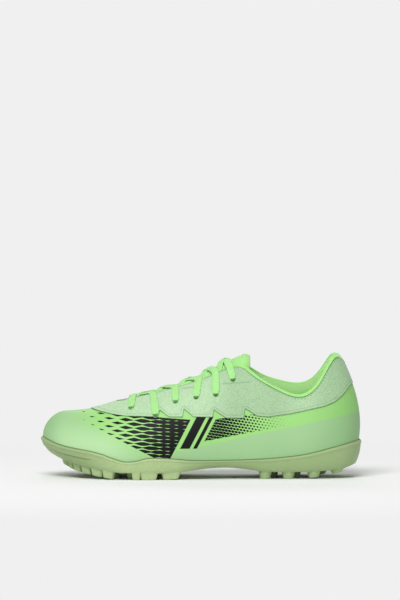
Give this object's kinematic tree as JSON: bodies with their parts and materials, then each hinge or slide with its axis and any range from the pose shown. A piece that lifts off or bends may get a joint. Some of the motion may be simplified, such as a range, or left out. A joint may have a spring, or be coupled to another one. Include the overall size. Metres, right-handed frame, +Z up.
{
  "type": "football shoe",
  "caption": "Low left football shoe for artificial turf, with a lasted hollow upper, thin eyestay overlay, flat lace, tongue, footbed and a cup sole with edge lugs and round studs.",
  "frame": {"origin": "on the floor, at the tip of the second middle stud of the heel, 58.5 mm ahead of the heel's back", "axes": "+Z up, +X along the shoe towards the heel, so the toe points along -X; +Y towards the big-toe side, so the outer side faces -Y"},
  "size_m": [0.2842, 0.0934, 0.1098],
  "materials": {
    "outsole": "matte",
    "upper": "satin",
    "overlay": "matte",
    "tongue": "matte",
    "insole": "matte",
    "lace": "matte"
  },
  "bodies": {
    "root": {"outsole": "outsole", "upper": "upper", "overlay": "overlay", "tongue": "tongue", "insole": "insole", "lace": "lace"}
  },
  "joints": []
}
